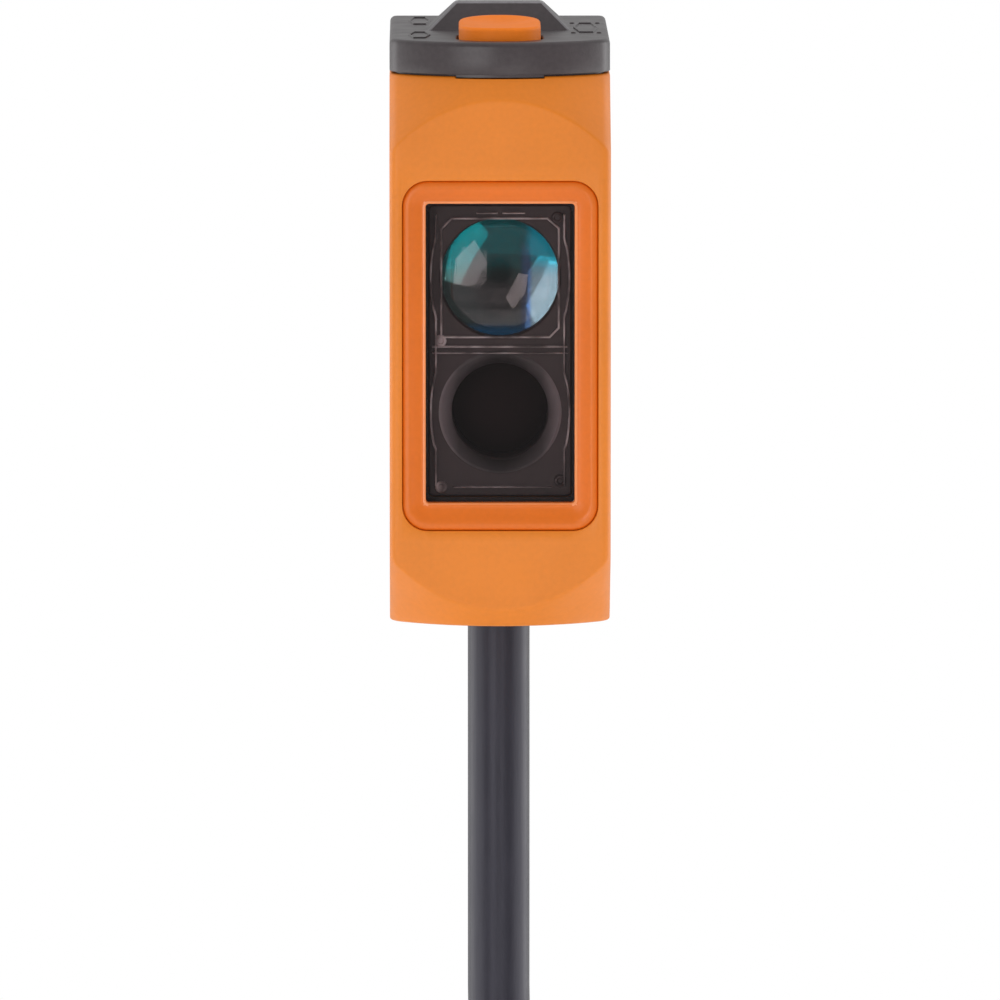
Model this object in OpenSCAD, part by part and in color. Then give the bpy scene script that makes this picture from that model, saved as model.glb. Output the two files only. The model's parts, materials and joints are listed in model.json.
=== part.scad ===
// Miniature cuboid photoelectric sensor with a fixed cable.
// Origin: the middle of the two mounting holes, halfway through the body.
// +X is the sensor's width, -Y the direction it looks in, +Z up.

/* [Body] */
// Width of the body, side to side
body_w = 15.4; // [15.2:0.1:17]
// Depth of the body, front face to back face
body_d = 30; // [30:0.5:33]
// Height of the housing, below the cap
housing_h = 38.4; // [38.4:0.2:41]
// Thickness of the housing's walls
wall = 1.2; // [1:0.1:1.3]
// Radius of the upright edges of the body
corner_r = 0.6; // [0.3:0.1:1]
// Radius of the rounded bevel at each end of the front face
bevel_r = 12.75; // [12.5:0.25:15]
// Tilt of the end bevels from the vertical, in degrees
bevel_tilt = 45; // [42:1:46]
// Height of the top bevel on the centre line
bevel_top = 1.5; // [1:0.1:1.8]
// Height of the bottom bevel on the centre line
bevel_bottom = 1.3; // [1:0.1:1.8]

/* [Mounting] */
// Distance between the two mounting holes
hole_pitch = 25.4; // [25:0.1:26]
// Bore of the mounting sleeves, clearance for an M3 screw
hole_d = 3.2; // [3.1:0.1:3.4]
// Distance of the hole axes from the back face
hole_back = 4.2; // [4.1:0.1:4.6]

/* [Window] */
// Width of the frame round the window
bezel_w = 13.6; // [13.4:0.1:13.8]
// Height of the frame round the window
bezel_h = 24.4; // [24:0.1:24.8]
// Corner radius of the frame
bezel_r = 1.75; // [1:0.25:2.5]
// Width of the clear opening
opening_w = 10.36; // [10.2:0.02:10.6]
// Height of the clear opening
opening_h = 20.9; // [20.7:0.1:21.1]
// How far the frame's face dips towards the window
dish = 0.45; // [0.3:0.05:0.6]
// Height of the receiver lens above the centre
receiver_z = 5.1; // [5:0.1:5.3]
// Height of the emitter opening above the centre
emitter_z = -4.3; // [-4.5:0.1:-4.2]
// Diameter of the receiver lens
lens_d = 8.2; // [7.8:0.1:8.2]

/* [Cap] */
// Height of the cap above the housing
cap_h = 2.4; // [2.4:0.1:3]
// Height of the guard above the deck
guard_h = 1.9; // [1.2:0.1:2.2]
// Width of the guard along its top
guard_top_w = 6.1; // [5:0.1:7]
// Width of the guard along its foot
guard_foot_w = 10; // [9:0.1:11]

/* [Button] */
// Width of the push button
button_w = 5.72; // [5:0.02:5.8]
// Length of the push button, front to back
button_l = 8.6; // [7.6:0.1:8.6]
// How far the button's front edge stands above the deck
button_proud = 0.9; // [0.8:0.05:1.2]
// Travel of the button
button_travel = 0.35; // [0.2:0.05:0.35]

/* [Cable] */
// Outer diameter of the cable
cable_d = 4.4; // [4.2:0.1:4.6]
// Distance of the cable's centre line from the front face
cable_back = 19.8; // [19.4:0.1:20]

/* [Hidden] */

$fn = 96;
eps = 0.01;
reach = 120;

half_w = body_w / 2;
inner_half_w = half_w - wall;
back_y = hole_back;
front_y = back_y - body_d;
top_z = housing_h / 2;
bottom_z = -top_z;
deck_z = top_z + cap_h;

// Stack behind the front face, as depths from it
bezel_sunk = 0.05;
bezel_t = 1.2;
pane_front = bezel_sunk + bezel_t;
pane_t = 1;
gasket_t = 0.3;
gasket_front = pane_front + pane_t;
seat_depth = gasket_front + gasket_t;
front_wall = 3.4;
bezel_z = -0.15;
bezel_gap = 0.07;
pane_w = 11.6;
pane_h = 22.1;
lip_w = 10;
lip_h = 20.4;

// Cavity of the housing
cover_t = 1.2;
cover_inner_y = back_y - cover_t;
cover_w = body_w - 2.6;
cover_h = housing_h - 2.8;
optics_room = 12.6;
end_front = front_y + 5.8;

// Optics block behind the front wall
carrier_y = front_y + front_wall;
carrier_l = 11.4;
carrier_w = 11.8;
carrier_low = -9.6;
carrier_high = 9.7;
lens_r = lens_d / 2;
lens_edge = 1.1;
lens_dome = 0.75;
lens_seat = 1.3;
emitter_r = 3.37;
funnel_r = 4.2;
board_t = 0.8;
optics_board_y = carrier_y + carrier_l;

// Boards
main_x = 0.9;
main_y = optics_board_y + board_t + 0.6;
main_back = -3.2;
main_low = -13.4;
main_high = 13.6;
display_z = 14.2;
display_top = display_z + board_t;

// Push button and its switch
cap_front = front_y + bevel_top;
cap_bow_r = 9.93;
cap_pocket_z = top_z + 1;
guard_start = 12.7;
guard_end = 18.1;
guard_slope = 1.8;
button_front = cap_front + 1.6;
button_y = button_front + button_l / 2;
button_gap = 0.12;
crown_r = 45;
crown_tilt = 2.5;
flange_z = top_z + button_travel + 0.1;
flange_t = 0.5;
switch_y = front_y + 9.3;
switch_w = 4;
switch_h = 1.9;
stem_r = 1;
stem_gap = 0.02;
plunger_top = display_top + 2.6;
plunger_l = 1.5;
run_gap = 0.05;

// Mounting sleeves
sleeve_r = 2.2;
boss_r = 2.8;

// Cable: the entry, the straight drop, the coil and the stripped end
cable_r = cable_d / 2;
cable_y = front_y + cable_back;
gland_low = bottom_z - 1.5;
jacket_top = bottom_z + 4;
core_r = 0.48;
core_pitch = 1;
coil_turn_r = 23.4;
coil_layers_in = 3;
coil_layers_along = 5;
coil_z = -100;
coil_y = cable_y + cable_d;
end_x = -(coil_turn_r + cable_d);
end_low = coil_z - 18;
core_end_l = 16;
ferrule_l = 6;

// Route of the cable from the gland to the coil, in X and Z
route = [
    [0, -20.7], [0, -30], [0, -40], [0, -47], [0, -53], [-1, -59],
    [-3.4, -63.5], [-5.4, -66], [-10, -70.6], [-15, -75.6], [-19.6, -80.2]
];

function unit(v) = v / norm(v);
function heading(path, i) = unit(path[min(i + 1, len(path) - 1)] - path[max(i - 1, 0)]);
function ring(path, i, r, sides) = [
    for (k = [0:sides - 1])
        let (a = 360 * k / sides, across = cross(heading(path, i), [0, 1, 0]))
        path[i] + r * (cos(a) * across + sin(a) * [0, 1, 0])
];

// A tube swept along points that lie in one upright plane
module swept_tube(path, r, sides = 12) {
    rings = len(path);
    points = [for (i = [0:rings - 1]) each ring(path, i, r, sides)];
    start_cap = [for (k = [sides - 1:-1:0]) k];
    end_cap = [for (k = [0:sides - 1]) (rings - 1) * sides + k];
    walls = [
        for (i = [0:rings - 2], k = [0:sides - 1])
            let (a = i * sides + k, b = i * sides + (k + 1) % sides)
            each [[a, b + sides, a + sides], [a, b, b + sides]]
    ];
    polyhedron(points = points, faces = concat([start_cap, end_cap], walls));
}

// A rectangle with round corners, centred
module round_rect(w, h, r) {
    square([w - 2 * r, h], center = true);
    square([w, h - 2 * r], center = true);
    for (x = [-1, 1], y = [-1, 1])
        translate([x * (w / 2 - r), y * (h / 2 - r)])
            circle(r = r);
}

// An upright plate with round corners, from depth y towards the back
module upright_plate(w, h, r, y, t, z = 0)
    translate([0, y + t, z])
        rotate([90, 0, 0])
            linear_extrude(t)
                round_rect(w, h, r);

// A box given by its two corners
module box(low, high)
    translate(low)
        cube(high - low);

// A round bar along Y, from y towards the back
module bar_y(r, y, l, x = 0, z = 0)
    translate([x, y, z])
        rotate([-90, 0, 0])
            cylinder(r = r, h = l);

// A round bar along X through the middle of the body
module bar_x(r, l, y, z)
    translate([0, y, z])
        rotate([0, 90, 0])
            cylinder(r = r, h = l, center = true);

// Everything behind the rounded bevel at one end of the front face
module behind_bevel(edge)
    translate([
        0,
        front_y + bevel_r * cos(bevel_tilt),
        top_z - edge - bevel_r * sin(bevel_tilt)
    ])
        rotate([-bevel_tilt, 0, 0]) {
            cylinder(r = bevel_r, h = reach, center = true);
            translate([-bevel_r, 0, -reach / 2])
                cube([2 * bevel_r, reach, reach]);
        }

module outer_body()
    intersection() {
        translate([0, (front_y + back_y) / 2, bottom_z])
            linear_extrude(housing_h)
                round_rect(body_w, body_d, corner_r);
        behind_bevel(bevel_top);
        mirror([0, 0, 1])
            behind_bevel(bevel_bottom);
    }

module housing_cavity() {
    box([-inner_half_w, carrier_y, -optics_room],
        [inner_half_w, cover_inner_y, optics_room]);
    box([-inner_half_w, end_front, bottom_z + wall],
        [inner_half_w, cover_inner_y, top_z + eps]);
    box([-cover_w / 2, cover_inner_y - eps, -cover_h / 2],
        [cover_w / 2, back_y + eps, cover_h / 2]);
}

module housing()
    color("darkorange")
        difference() {
            union() {
                difference() {
                    outer_body();
                    housing_cavity();
                }
                for (side = [-1, 1])
                    bar_x(boss_r, body_w - 1, 0, side * hole_pitch / 2);
            }
            upright_plate(bezel_w + 2 * bezel_gap, bezel_h + 2 * bezel_gap, bezel_r,
                front_y - 1, 1 + pane_front, bezel_z);
            upright_plate(pane_w + 0.1, pane_h + 0.1, 0.6, front_y, seat_depth);
            upright_plate(lip_w, lip_h, 0.4, front_y, front_wall + 1);
            for (side = [-1, 1])
                bar_x(sleeve_r + 0.02, body_w + 1, 0, side * hole_pitch / 2);
            translate([0, cable_y, bottom_z - 1])
                cylinder(r = 2.9, h = wall + 2);
            box([-3.1, front_y, top_z - 0.2], [3.1, end_front, top_z + eps]);
        }

module rear_cover()
    color("darkorange")
        translate([0, cover_inner_y, 0])
            box([-cover_w / 2 + 0.05, 0, -cover_h / 2 + 0.05],
                [cover_w / 2 - 0.05, cover_t, cover_h / 2 - 0.05]);

// The frame's face dips from its rim down to the window
module window_bezel()
    color("chocolate")
        difference() {
            upright_plate(bezel_w, bezel_h, bezel_r, front_y + bezel_sunk, bezel_t, bezel_z);
            upright_plate(opening_w, opening_h, 0.3, front_y - 1, bezel_t + 2);
            hull() {
                upright_plate(bezel_w - 0.3, bezel_h - 0.3, bezel_r - 0.15,
                    front_y - 1, 1 + bezel_sunk, bezel_z, $fn = 32);
                upright_plate(opening_w + 0.5, opening_h + 0.5, 0.75,
                    front_y + dish - 0.1, 0.1, $fn = 32);
            }
        }

module front_window()
    color([0.2, 0.16, 0.16, 0.6])
        upright_plate(pane_w, pane_h, 0.55, front_y + pane_front, pane_t);

module window_gasket()
    color("black")
        difference() {
            upright_plate(pane_w - 0.1, pane_h - 0.1, 0.5, front_y + gasket_front, gasket_t);
            upright_plate(lip_w + 0.1, lip_h + 0.1, 0.4, front_y, reach);
        }

// Thin frame that holds the lens, with ribs and the heads of its four pins
module lens_retainer()
    color("dimgray")
        difference() {
            union() {
                upright_plate(lip_w - 0.2, lip_h - 0.2, 0.3, front_y + 2.7, 0.7);
                for (side = [-1, 1])
                    box([side * 4.55 - 0.12, front_y + 2.45, -9.4],
                        [side * 4.55 + 0.12, front_y + 2.75, 9.5]);
                for (pin = [[-4.1, -9.55], [4.2, -9.1], [4, 9.3], [-4.1, 0.7]])
                    bar_y(0.42, front_y + 2.5, 0.5, pin[0], pin[1]);
            }
            bar_y(lens_r + 0.05, front_y, reach, 0, receiver_z);
            bar_y(funnel_r, front_y, reach, 0, emitter_z);
        }

module optics_carrier()
    color("#2b2b2e")
        difference() {
            box([-carrier_w / 2, carrier_y, carrier_low],
                [carrier_w / 2, carrier_y + carrier_l, carrier_high]);
            bar_y(lens_r + 0.03, carrier_y - eps, lens_seat + eps, 0, receiver_z);
            bar_y(3.5, carrier_y, 7, 0, receiver_z);
            bar_y(2.4, carrier_y, reach, 0, receiver_z);
            translate([0, carrier_y - eps, emitter_z])
                rotate([-90, 0, 0])
                    cylinder(r1 = funnel_r, r2 = emitter_r, h = 0.7);
            bar_y(emitter_r, carrier_y, 5, 0, emitter_z);
            bar_y(2.4, carrier_y, reach, 0, emitter_z);
            box([-4.6, carrier_y + 3, 0.1], [4.6, carrier_y + carrier_l + eps, 0.7]);
        }

// A disc with a domed front, turned about the optical axis; y is where the dome meets the disc
module plano_convex(r, y, edge, dome, z) {
    sphere_r = (r * r + dome * dome) / (2 * dome);
    translate([0, y, z])
        rotate([90, 0, 0])
            rotate_extrude() {
                translate([0, -edge])
                    square([r, edge]);
                intersection() {
                    translate([0, dome - sphere_r])
                        circle(r = sphere_r, $fn = 360);
                    translate([0, -edge / 2])
                        square([r, edge / 2 + dome]);
                }
            }
}

module receiver_lens()
    color("teal")
        plano_convex(lens_r, carrier_y + lens_seat - lens_edge, lens_edge, lens_dome,
            receiver_z);

module emitter_lens()
    color("#3a1216")
        plano_convex(emitter_r - 0.05, carrier_y + 3.9, 1.1, 0.9, emitter_z);

module optical_barrier()
    color("silver")
        box([-4.5, carrier_y + 3.1, 0.15], [4.5, optics_board_y - 0.1, 0.65]);

module photodiode()
    color("#22262c")
        box([-1.5, optics_board_y - 0.9, receiver_z - 1.5],
            [1.5, optics_board_y, receiver_z + 1.5]);

module emitter_led()
    color("firebrick") {
        box([-1.4, optics_board_y - 0.8, emitter_z - 1.4],
            [1.4, optics_board_y, emitter_z + 1.4]);
        translate([0, optics_board_y - 0.8, emitter_z])
            sphere(r = 0.75);
    }

module optics_board()
    color("darkgreen")
        box([-5.6, optics_board_y, carrier_low + 0.2],
            [5.6, optics_board_y + board_t, carrier_high - 0.2]);

module receiver_shield()
    color("silver")
        translate([-2.9, optics_board_y + board_t, receiver_z])
            difference() {
                box([-2.5, 0, -3.6], [2.5, 2, 3.6]);
                box([-2.3, -eps, -3.4], [2.3, 1.8, 3.4]);
            }

module amplifier_chip()
    color("#1c1c1e")
        translate([-2.9, optics_board_y + board_t, receiver_z])
            box([-1.5, 0, -1.5], [1.5, 0.9, 1.5]);

module main_board()
    color("darkgreen")
        box([main_x, main_y, main_low], [main_x + board_t, main_back, main_high]);

module controller_chip()
    color("#1c1c1e")
        box([main_x - 0.9, main_y + 1.4, -2], [main_x, main_back - 0.3, 2.6]);

module output_driver()
    color("#1c1c1e")
        box([main_x - 0.9, main_y + 1.6, 5], [main_x, main_back - 1, 8.4]);

module capacitors()
    color("tan")
        for (z = [-9, -6.4, -3.8, 4, 6.6, 9.2])
            box([main_x + board_t, main_y + 1.8, z - 0.8],
                [main_x + board_t + 1.2, main_back - 1.2, z + 0.8]);

// Pins that join the three boards
module board_pins()
    color("gold") {
        for (z = [-7.5, -5.5, 8.8])
            bar_y(0.25, optics_board_y + board_t, 1.8, main_x - 0.28, z);
        for (i = [0:3])
            translate([main_x - 0.28, main_y + 0.8 + 1.4 * i, main_high - 1.4])
                cylinder(r = 0.25, h = display_z - main_high + 1.4);
    }

module display_board()
    color("darkgreen")
        box([-5.8, end_front + 0.5, display_z], [5.8, main_back - 0.2, display_top]);

module teach_switch()
    color("#303236")
        difference() {
            translate([0, switch_y, 0])
                box([-switch_w / 2, -switch_w / 2, display_top],
                    [switch_w / 2, switch_w / 2, display_top + switch_h]);
            translate([0, switch_y, display_top + 0.6])
                cylinder(r = stem_r + run_gap, h = switch_h);
        }

module switch_plunger()
    color("ivory")
        translate([0, switch_y, plunger_top - plunger_l])
            cylinder(r = stem_r, h = plunger_l);

module status_leds()
    color("gold")
        for (side = [-1, 1])
            translate([side * 3, main_back - 1.7, 0])
                box([-0.8, -0.5, display_top], [0.8, 0.5, display_top + 0.7]);

module light_pipes()
    color("whitesmoke")
        for (side = [-1, 1])
            translate([side * 3, main_back - 1.7, display_top + 0.9])
                cylinder(r = 0.8, h = deck_z - display_top - 0.9);

// The button's outline, grown by a margin
module button_outline(grow)
    translate([0, button_y])
        round_rect(button_w + 2 * grow, button_l + 2 * grow, button_w / 2 - 0.3 + grow);

// Plan of the cap: the body's own plan with a bowed front
module cap_plan()
    intersection() {
        translate([0, (front_y + back_y) / 2])
            round_rect(body_w, body_d, corner_r);
        union() {
            translate([0, cap_front + cap_bow_r])
                circle(r = cap_bow_r);
            translate([-cap_bow_r, cap_front + cap_bow_r])
                square([2 * cap_bow_r, body_d]);
        }
    }

// The guard behind the button: a trapezium seen from the front, a ramp from the side
module guard()
    intersection() {
        translate([0, back_y, deck_z])
            rotate([90, 0, 0])
                linear_extrude(body_d)
                    polygon([
                        [-guard_foot_w / 2, -0.5], [guard_foot_w / 2, -0.5],
                        [guard_foot_w / 2, 0], [guard_top_w / 2, guard_h],
                        [-guard_top_w / 2, guard_h], [-guard_foot_w / 2, 0]
                    ]);
        translate([-half_w, cap_front, deck_z])
            rotate([90, 0, 90])
                linear_extrude(body_w)
                    polygon([
                        [guard_start, -0.5], [guard_end, -0.5], [guard_end, 0],
                        [guard_end - guard_slope, guard_h],
                        [guard_start + guard_slope, guard_h], [guard_start, 0]
                    ]);
    }

module top_cap()
    color("#434145")
        difference() {
            union() {
                translate([0, 0, top_z])
                    linear_extrude(cap_h)
                        cap_plan();
                guard();
                box([-6.13, end_front + 0.35, top_z - 1.2],
                    [6.13, cover_inner_y - 0.35, top_z + eps]);
                intersection() {
                    box([-3.05, front_y, top_z - 0.15], [3.05, end_front - 0.1, top_z + eps]);
                    translate([0, 0, top_z - 0.5])
                        linear_extrude(1)
                            cap_plan();
                }
            }
            box([-5.3, end_front + 1.1, top_z - 2],
                [5.3, cover_inner_y - 1.1, cap_pocket_z]);
            box([-3.4, cap_front + 1.2, top_z], [3.4, end_front + 1.2, cap_pocket_z]);
            translate([0, 0, top_z])
                linear_extrude(reach)
                    button_outline(button_gap);
            for (side = [-1, 1])
                translate([side * 3, main_back - 1.7, top_z])
                    cylinder(r = 0.82, h = reach);
            box([-3.4, cap_front + 1.2, top_z - 1], [3.4, end_front + 0.3, top_z + eps]);
        }

module cap_gasket()
    color("black")
        difference() {
            box([-inner_half_w + 0.02, end_front + 0.02, top_z - 0.6],
                [inner_half_w - 0.02, cover_inner_y - 0.05, top_z]);
            box([-6.16, end_front + 0.32, top_z - 1],
                [6.16, cover_inner_y - 0.32, top_z + 1]);
        }

// A pill with a retaining flange below and a crowned top that rises to the back
module push_button()
    color("orange") {
        intersection() {
            translate([0, 0, flange_z])
                linear_extrude(reach)
                    button_outline(0);
            translate([0, button_front, deck_z + button_proud])
                rotate([crown_tilt, 0, 0])
                    translate([0, 0, -crown_r])
                        rotate([-90, 0, 0])
                            cylinder(r = crown_r, h = reach, center = true, $fn = 360);
        }
        translate([0, 0, flange_z])
            linear_extrude(flange_t)
                button_outline(0.25);
        translate([0, switch_y, plunger_top + stem_gap])
            cylinder(r = stem_r, h = flange_z - plunger_top);
    }

module button_membrane()
    color("#1f1f22")
        difference() {
            box([-5.25, end_front + 1.15, top_z - 0.9], [5.25, switch_y + 5, top_z - 0.6]);
            translate([0, switch_y, top_z - 2])
                cylinder(r = stem_r + run_gap, h = 3);
        }

module mounting_sleeves()
    color("lightsteelblue")
        for (side = [-1, 1])
            difference() {
                bar_x(sleeve_r, body_w, 0, side * hole_pitch / 2);
                bar_x(hole_d / 2, body_w + 1, 0, side * hole_pitch / 2);
            }

module cable_gland()
    color("#26262a")
        translate([0, cable_y, 0])
            difference() {
                union() {
                    translate([0, 0, gland_low])
                        cylinder(r1 = 2.9, r2 = 3.3, h = bottom_z - gland_low);
                    translate([0, 0, bottom_z - eps])
                        cylinder(r = 2.85, h = wall + 2 * eps);
                    translate([0, 0, bottom_z + wall])
                        cylinder(r = 3.5, h = 1);
                }
                translate([0, 0, gland_low - 1])
                    cylinder(r = cable_r + 0.03, h = 6);
            }

module crimp_ring()
    color("goldenrod")
        translate([0, cable_y, bottom_z + wall + 1.1])
            difference() {
                cylinder(r = 2.65, h = 1.3);
                translate([0, 0, -1])
                    cylinder(r = cable_r + 0.03, h = 4);
            }

module inner_cable()
    color("#37363b")
        translate([0, cable_y, gland_low])
            cylinder(r = cable_r, h = jacket_top - gland_low);

// Four cores in a flat row, soldered to the foot of the main board
module inner_leads()
    for (i = [0:3])
        color(["saddlebrown", "white", "royalblue", "black"][i])
            translate([main_x - core_r - 0.05, cable_y + (i - 1.5) * core_pitch, jacket_top])
                cylinder(r = core_r, h = -9.8 - jacket_top, $fn = 32);

module cable()
    color("#37363b")
        swept_tube([for (p = route) [p[0], cable_y, p[1]]], cable_r);

module cable_coil()
    color("#37363b")
        translate([0, coil_y, coil_z])
            rotate([90, 0, 0])
                rotate_extrude()
                    translate([coil_turn_r, 0])
                        round_rect(coil_layers_in * cable_d, coil_layers_along * cable_d,
                            cable_r);

module cable_end()
    color("#37363b")
        translate([end_x, coil_y, end_low])
            cylinder(r = cable_r, h = coil_z - 12 - end_low);

// One strap round the bundle, with its lock on the outside of the coil
module cable_tie(angle) {
    inner_w = coil_layers_in * cable_d + 0.5;
    inner_h = coil_layers_along * cable_d + 0.4;
    strap_t = 0.9;
    strap_w = 3.2;
    translate([0, coil_y, coil_z])
        rotate([0, angle, 0])
            translate([coil_turn_r, 0, -strap_w / 2])
                difference() {
                    union() {
                        linear_extrude(strap_w)
                            round_rect(inner_w + 2 * strap_t, inner_h + 2 * strap_t,
                                cable_r + strap_t);
                        box([inner_w / 2, -2.6, -0.8],
                            [inner_w / 2 + 4, 2.6, strap_w + 0.8]);
                    }
                    translate([0, 0, -2])
                        linear_extrude(strap_w + 4)
                            round_rect(inner_w, inner_h, cable_r);
                }
}

module cable_ties()
    color("#18181a")
        for (angle = [0, 90])
            cable_tie(angle);

// Stripped cores at the free end, and the crimped sleeve on each
module core_ends()
    for (i = [0:3])
        color(["saddlebrown", "white", "royalblue", "black"][i])
            translate([end_x + (i % 2 - 0.5) * 1.2, coil_y + (floor(i / 2) - 0.5) * 1.2,
                end_low - core_end_l])
                cylinder(r = core_r, h = core_end_l, $fn = 32);

module ferrules()
    color("silver")
        for (i = [0:3])
            translate([end_x + (i % 2 - 0.5) * 1.2, coil_y + (floor(i / 2) - 0.5) * 1.2,
                end_low - core_end_l - ferrule_l])
                cylinder(r = 0.4, h = ferrule_l, $fn = 32);

housing();
rear_cover();
window_bezel();
front_window();
window_gasket();
lens_retainer();
optics_carrier();
receiver_lens();
emitter_lens();
optical_barrier();
photodiode();
emitter_led();
optics_board();
receiver_shield();
amplifier_chip();
main_board();
controller_chip();
output_driver();
capacitors();
board_pins();
display_board();
teach_switch();
switch_plunger();
status_leds();
light_pipes();
top_cap();
cap_gasket();
push_button();
button_membrane();
mounting_sleeves();
cable_gland();
crimp_ring();
inner_cable();
inner_leads();
cable();
cable_coil();
cable_end();
cable_ties();
core_ends();
ferrules();
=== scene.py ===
"""A miniature photoelectric sensor on its cable: finished pieces, materials, light and camera.

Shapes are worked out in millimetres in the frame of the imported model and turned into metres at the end
of each piece. +X is the sensor's width, -Y the direction it looks in, +Z up.
"""

import json
from math import asin, cos, dist, hypot, pi, radians, sin, sqrt, tan

import bmesh
import bpy
from mathutils import Matrix, Vector


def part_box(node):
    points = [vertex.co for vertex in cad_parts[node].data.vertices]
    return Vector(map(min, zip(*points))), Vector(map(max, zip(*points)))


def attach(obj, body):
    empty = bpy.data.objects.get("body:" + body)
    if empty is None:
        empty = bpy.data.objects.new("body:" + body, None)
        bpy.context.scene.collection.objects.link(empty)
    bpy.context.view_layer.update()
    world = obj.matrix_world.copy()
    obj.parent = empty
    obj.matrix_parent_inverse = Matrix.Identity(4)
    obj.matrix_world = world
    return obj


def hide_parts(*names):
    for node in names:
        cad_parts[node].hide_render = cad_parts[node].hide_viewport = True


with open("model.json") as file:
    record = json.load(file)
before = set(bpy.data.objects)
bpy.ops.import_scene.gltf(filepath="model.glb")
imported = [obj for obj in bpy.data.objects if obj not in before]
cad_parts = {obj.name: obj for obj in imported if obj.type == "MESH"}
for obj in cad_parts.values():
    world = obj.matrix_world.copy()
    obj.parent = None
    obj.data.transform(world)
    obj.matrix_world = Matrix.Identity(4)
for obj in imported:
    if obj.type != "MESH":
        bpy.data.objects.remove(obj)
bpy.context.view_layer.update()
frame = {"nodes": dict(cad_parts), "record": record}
scene = bpy.context.scene

MM = 0.001


def placed(name, data):
    """A new object with this data, linked to the scene."""
    thing = bpy.data.objects.new(name, data)
    scene.collection.objects.link(thing)
    return thing


def corners(node):
    """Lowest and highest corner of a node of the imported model, in millimetres."""
    low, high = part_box(node)
    return low / MM, high / MM


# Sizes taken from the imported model, in millimetres
body_low, body_high = corners("housing")
HALF_W = body_high.x
FRONT = body_low.y
BACK = body_high.y
TOP = body_high.z
BOTTOM = body_low.z
DECK = corners("light_pipes")[1].z
GUARD_TOP = corners("top_cap")[1].z
SLEEVE_R = 2.2
SLEEVE_LOW, SLEEVE_HIGH = corners("mounting_sleeves")
HOLE_Z = (SLEEVE_HIGH.z - SLEEVE_LOW.z) / 2 - SLEEVE_R
CARRIER_Y = corners("optics_carrier")[0].y
CABLE_LOW, CABLE_HIGH = corners("inner_cable")
CABLE_R = (CABLE_HIGH.x - CABLE_LOW.x) / 2
CABLE_D = 2 * CABLE_R
CABLE_Y = (CABLE_HIGH.y + CABLE_LOW.y) / 2

# -------- camera and light

CAMERA_PLACE = (-0.0054, -0.9687, 0.0869)
CAMERA_YAW = 0.327
CAMERA_PITCH = -5.879
CAMERA_LENS = 490.2


def make_camera():
    data = bpy.data.cameras.new("camera")
    data.lens = CAMERA_LENS
    data.sensor_width = 36
    data.clip_start = 0.01
    data.clip_end = 20
    camera = placed("camera", data)
    camera.location = CAMERA_PLACE
    camera.rotation_euler = (radians(90 + CAMERA_PITCH), 0, radians(-CAMERA_YAW))
    scene.camera = camera


def make_floor_wash():
    """A soft lamp that looks straight down at the table top in front of the coil."""
    data = bpy.data.lights.new("floor_wash", "AREA")
    data.shape = "RECTANGLE"
    data.size = 0.5
    data.size_y = 0.2
    data.energy = 0.3
    lamp = placed("floor_wash", data)
    lamp.location = (0, -0.24, -0.056)
    lamp.visible_camera = False


def mirrored(name, left_strength, right_strength, directions, distance):
    """Rows for two panels, one on each side of the sensor; directions are those of the right one."""
    left = [(-azimuth, elevation) for azimuth, elevation in directions]
    return [
        (f"{name}_left", left, distance, left_strength, False),
        (f"{name}_right", directions, distance, right_strength, False),
    ]


# Corners seen from the sensor as (azimuth, elevation) in degrees, distance in metres, strength, and
# whether the panel lights matt surfaces too. Azimuth 0 is the camera's side and grows to the right.
PANELS = [
    ("left_panel", [(-18.1, 20.8), (-8.4, 5.3), (-17.3, -9.9), (-32.0, -9.5), (-30.5, 7.8)], 1.0, 5.5, False),
    ("right_panel", [(4.0, -17.1), (9.6, -24.8), (17.3, -13.9), (18.9, -2.1), (12.5, -1.1)], 0.3, 4.6, False),
    ("left_screen", [(-8.8, -5.9), (-16, -14.7), (-27, -16), (-27, 16), (-8.8, 14)], 1.1, 2.4, True),
    *mirrored("rim", 2.6, 3.2, [(92, -32), (132, -32), (132, 24), (92, 24)], 0.8),
    *mirrored("cable_rim", 3.0, 3.0, [(56, -32), (92, -32), (92, -10), (56, -10)], 0.2),
    *mirrored("low_rim", 2.0, 2.0, [(60, -62), (150, -62), (150, -30), (60, -30)], 0.15),
    ("low_front", [(-62, -72), (62, -72), (50, -40), (-50, -40)], 0.14, 2.2, False),
    ("low_screen", [(-34, -9.5), (-34, -19), (34, -19), (34, -9.5)], 0.55, 1.1, True),
]


def panel(name, directions, distance, strength, lights_matt):
    """A flat glowing panel that faces the sensor and is itself out of the camera's sight."""
    spots = []
    for azimuth, elevation in directions:
        a, e = radians(azimuth), radians(elevation)
        spots.append(Vector((sin(a) * cos(e), -cos(a) * cos(e), sin(e))))
    facing = sum(spots, Vector()).normalized()
    outline = [tuple(distance * spot / spot.dot(facing)) for spot in spots]
    mesh = bpy.data.meshes.new(name)
    mesh.from_pydata(outline, [], [tuple(range(len(outline)))])
    material = bpy.data.materials.new(name)
    material.use_nodes = True
    tree = Nodes(material.node_tree)
    tree.nodes.remove(tree.nodes["Principled BSDF"])
    glow = tree.add("ShaderNodeEmission", (1, 1, 1, 1), strength)
    tree.fill(tree.nodes["Material Output"], Surface=glow)
    mesh.materials.append(material)
    lamp = placed(name, mesh)
    lamp.visible_camera = False
    lamp.visible_shadow = False
    lamp.visible_diffuse = lights_matt


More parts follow.
